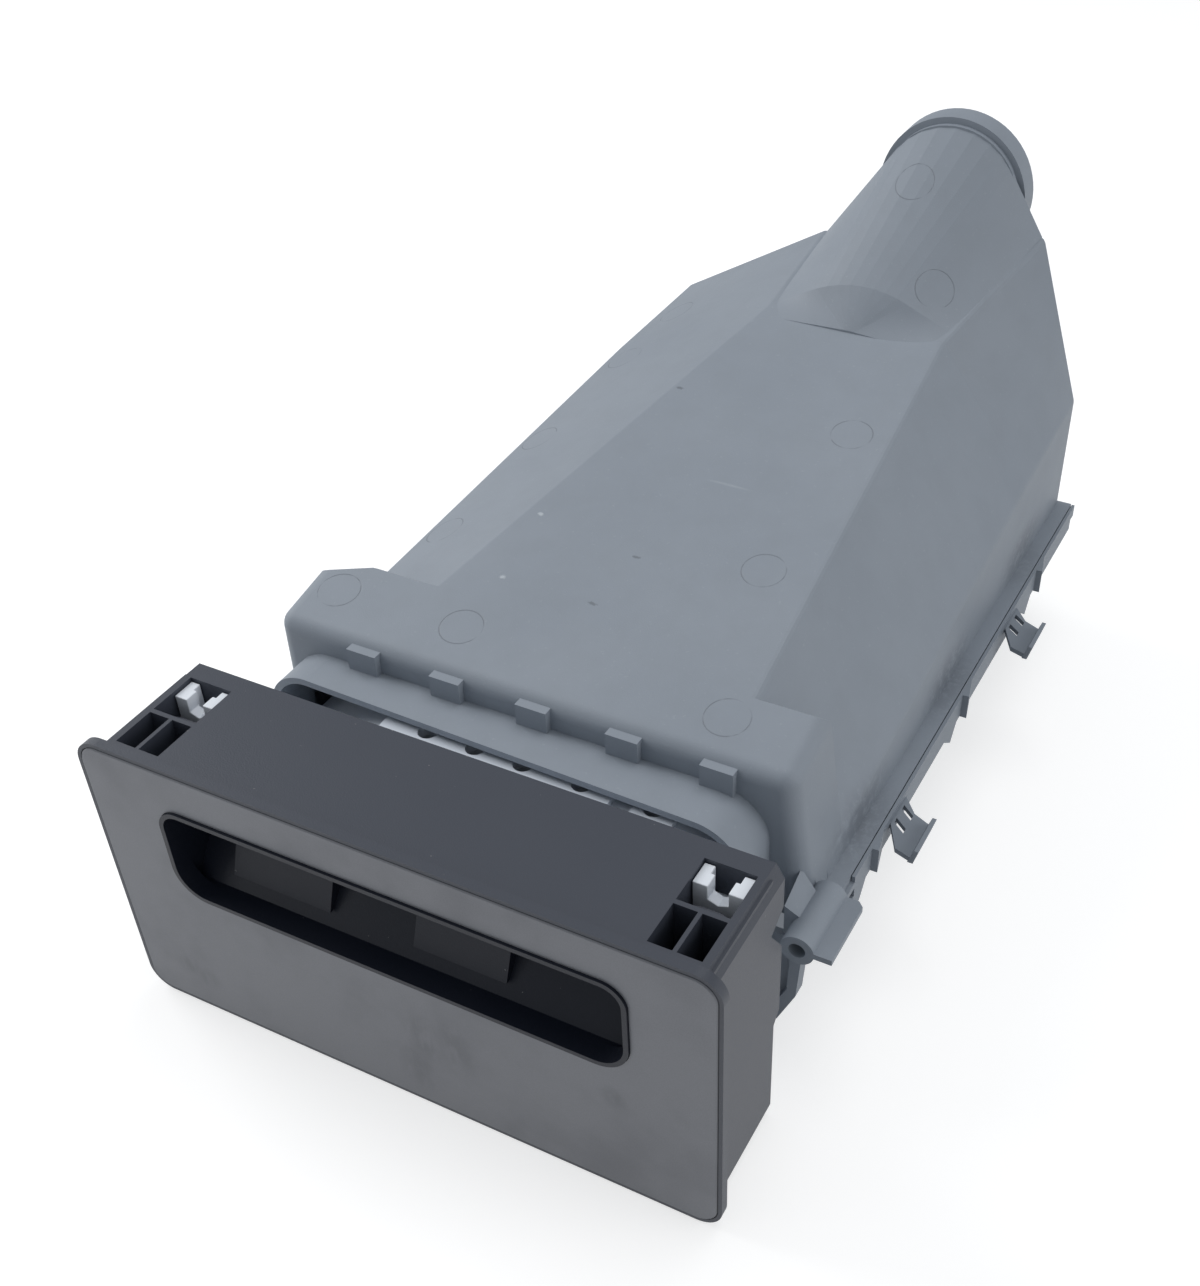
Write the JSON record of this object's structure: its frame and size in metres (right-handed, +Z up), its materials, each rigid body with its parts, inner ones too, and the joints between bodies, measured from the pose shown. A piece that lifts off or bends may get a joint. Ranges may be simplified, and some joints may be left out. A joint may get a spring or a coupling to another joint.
{
  "type": "detergent dispenser drawer",
  "caption": "Detergent dispenser of a washing machine: a drawer with a silver front, pushed into its grey housing with a sloping sump and a hose spout, lying upside down.",
  "frame": {"origin": "middle of the lower edge that the drawer front stands on in the picture's pose, at the middle of the fascia plate's thickness", "axes": "+X along the drawer front, +Y back into the machine, along the drawer's travel and the spout, +Z up with the dispenser lying upside down"},
  "size_m": [0.212, 0.3355, 0.1872],
  "materials": {
    "housing_plastic": "fine grained grey moulding",
    "cover_plastic": "fine grained grey moulding",
    "carrier_plastic": "dark grey, slight sheen",
    "fascia_silver": "satin silver paint",
    "cup_plastic": "dark grey, slight sheen",
    "tray_plastic": "white moulding",
    "clip_plastic": "white moulding",
    "cap_plastic": "blue moulding"
  },
  "bodies": {
    "housing": {"sump_housing": "housing_plastic", "distributor_cover": "cover_plastic", "channel_plate": "cover_plastic"},
    "drawer": {"front_carrier": "carrier_plastic", "fascia_plate": "fascia_silver", "handle_cup": "cup_plastic", "drawer_tray": "tray_plastic", "left_clip": "clip_plastic", "right_clip": "clip_plastic", "siphon_cap": "cap_plastic"},
    "gate": {"liquid_flap": "cap_plastic"},
    "tongue": {"release_tab": "tray_plastic"}
  },
  "joints": [
    {"name": "drawer_slide", "type": "slide", "parent": "housing", "child": "drawer", "axis": [0, -1, 0], "range_m": [0, 0.215]},
    {"name": "gate_hinge", "type": "hinge", "parent": "drawer", "child": "gate", "pos_m": [-0.051, 0.15, 0.0205], "axis": [1, 0, 0], "range_deg": [0, 80]},
    {"name": "tongue_hinge", "type": "hinge", "parent": "drawer", "child": "tongue", "pos_m": [0.0005, 0.264, 0.0205], "axis": [1, 0, 0], "range_deg": [0, 8], "stiffness_Nm_per_rad": 0.3}
  ]
}
